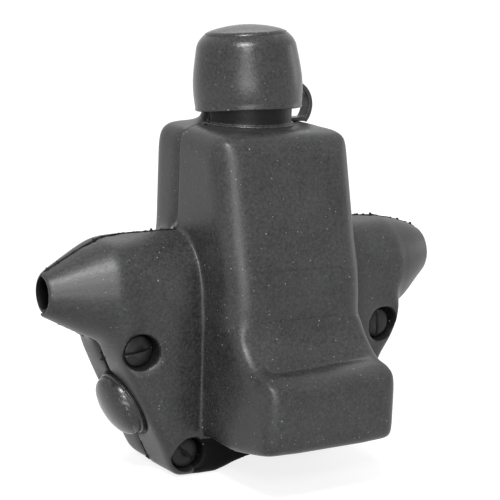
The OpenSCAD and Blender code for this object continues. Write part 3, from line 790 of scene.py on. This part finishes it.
dress(metal("plated_steel", (0.52, 0.53, 0.55), 0.33, 160.0, 0.008 * MM),
      "clamp_bolt", "bolt_clip", "thrust_disc", "yoke_nut")
dress(metal("zinc_alloy", (0.42, 0.41, 0.38), 0.42, 220.0, 0.012 * MM), "shear_head")
dress(metal("cast_aluminium", (0.42, 0.43, 0.45), 0.5, 260.0, 0.03 * MM), "clamp_yoke")
SHOE_TONES = ((0.022, 0.022, 0.024, 1), (0.036, 0.036, 0.039, 1))
dress(rubber("shoe_plastic", *SHOE_TONES, (0.38, 0.5), 0.012 * MM, 0.02), "pressure_shoe")

# Contacts and seals
# Tinned contact plates with teeth under the main cable and beside each tap port, soft seals round them and
# under the screw heads, and brass inserts moulded into the rear half.
dress(metal("tinned_copper", (0.55, 0.5, 0.42), 0.3, 240.0, 0.008 * MM),
      "main_contact", "left_tap_contact", "right_tap_contact")
dress(rubber("seal_rubber", (0.075, 0.075, 0.067, 1), (0.1, 0.1, 0.09, 1), (0.5, 0.62), 0.01 * MM, 0.02),
      "contact_seal", "upper_left_seal", "lower_left_seal", "upper_right_seal", "lower_right_seal")
dress(metal("insert_brass", (0.45, 0.34, 0.14), 0.35, 200.0, 0.008 * MM), "threaded_inserts")

# Studio
# A pale table under soft studio light, with the camera at the front left and a little above, as in the
# photograph.
AZIMUTH = math.radians(-33.39)
HEIGHT = math.radians(11.27)
ROLL = math.radians(2.2)
DISTANCE = 450.8 * MM
LENS = 126.5
AIM = Vector((1.78, -1.17, 6.62)) * MM

back = Vector((math.sin(AZIMUTH) * math.cos(HEIGHT), -math.cos(AZIMUTH) * math.cos(HEIGHT), math.sin(HEIGHT)))
camera = bpy.data.objects.new("camera", bpy.data.cameras.new("camera"))
camera.data.lens = LENS
camera.data.sensor_width = 36
camera.rotation_mode = "QUATERNION"
camera.rotation_quaternion = (-back).to_track_quat("-Z", "Y") @ Quaternion((0, 0, 1), ROLL)
camera.location = AIM + back * DISTANCE
bpy.context.scene.collection.objects.link(camera)
bpy.context.scene.camera = camera

FLOOR_GREY = 0.25
FLOOR_GLOW = 0.82


def seen_rays(tree):
    """1 on camera, glossy and transmission rays, which see the white background, and 0 on others."""
    rays = tree.nodes.new("ShaderNodeLightPath").outputs
    seen = math_node(tree, "MAXIMUM", rays["Is Camera Ray"], rays["Is Glossy Ray"])
    return math_node(tree, "MAXIMUM", seen, rays["Is Transmission Ray"])


floor_shape = bmesh.new()
bmesh.ops.create_grid(floor_shape, x_segments=1, y_segments=1, size=3)
bmesh.ops.translate(floor_shape, verts=floor_shape.verts, vec=(0, 0, cad_box[0].z))
floor_mesh = bpy.data.meshes.new("floor")
floor_shape.to_mesh(floor_mesh)
floor_shape.free()
floor_material, floor_tree, floor_shader = empty_material("floor_white")
floor_shader.inputs["Base Color"].default_value = (FLOOR_GREY, FLOOR_GREY, FLOOR_GREY, 1)
floor_shader.inputs["Roughness"].default_value = 0.9
floor_shader.inputs["Emission Color"].default_value = (1, 1, 1, 1)
floor_glow = math_node(floor_tree, "MULTIPLY", seen_rays(floor_tree), FLOOR_GLOW)
floor_tree.links.new(floor_glow, floor_shader.inputs["Emission Strength"])
floor = added("floor", floor_mesh, floor_material)


def lamp(name, azimuth, height, distance, size, watts):
    """A soft box of some width and height that looks at the connector."""
    light = bpy.data.lights.new(name, "AREA")
    light.shape = "RECTANGLE"
    light.energy = watts
    light.size, light.size_y = size
    a, h = math.radians(azimuth), math.radians(height)
    away = Vector((math.sin(a) * math.cos(h), -math.cos(a) * math.cos(h), math.sin(h)))
    holder = bpy.data.objects.new(name, light)
    holder.location = away * distance
    holder.rotation_euler = (-away).to_track_quat("-Z", "Y").to_euler()
    bpy.context.scene.collection.objects.link(holder)


lamp("key_lamp", -34, 29, 1.2, (0.26, 0.2), 5)
lamp("high_lamp", -42, 55, 1.2, (0.4, 0.2), 14)
lamp("low_lamp", -33, 4, 1.2, (0.7, 0.2), 5)
lamp("back_lamp", 150, 50, 1.2, (0.8, 0.5), 3)
lamp("rim_lamp", 90, 8, 1.2, (0.35, 0.35), 0.6)

SKY_LIGHT = 0.5
world = bpy.data.worlds.new("studio")
bpy.context.scene.world = world
world.use_nodes = True
world_tree = world.node_tree
sky = world_tree.nodes["Background"]
world_tree.links.new(ranged(world_tree, seen_rays(world_tree), SKY_LIGHT, 1.0), sky.inputs["Strength"])
sky.inputs["Color"].default_value = (1, 1, 1, 1)
bpy.context.scene.view_settings.view_transform = "Standard"
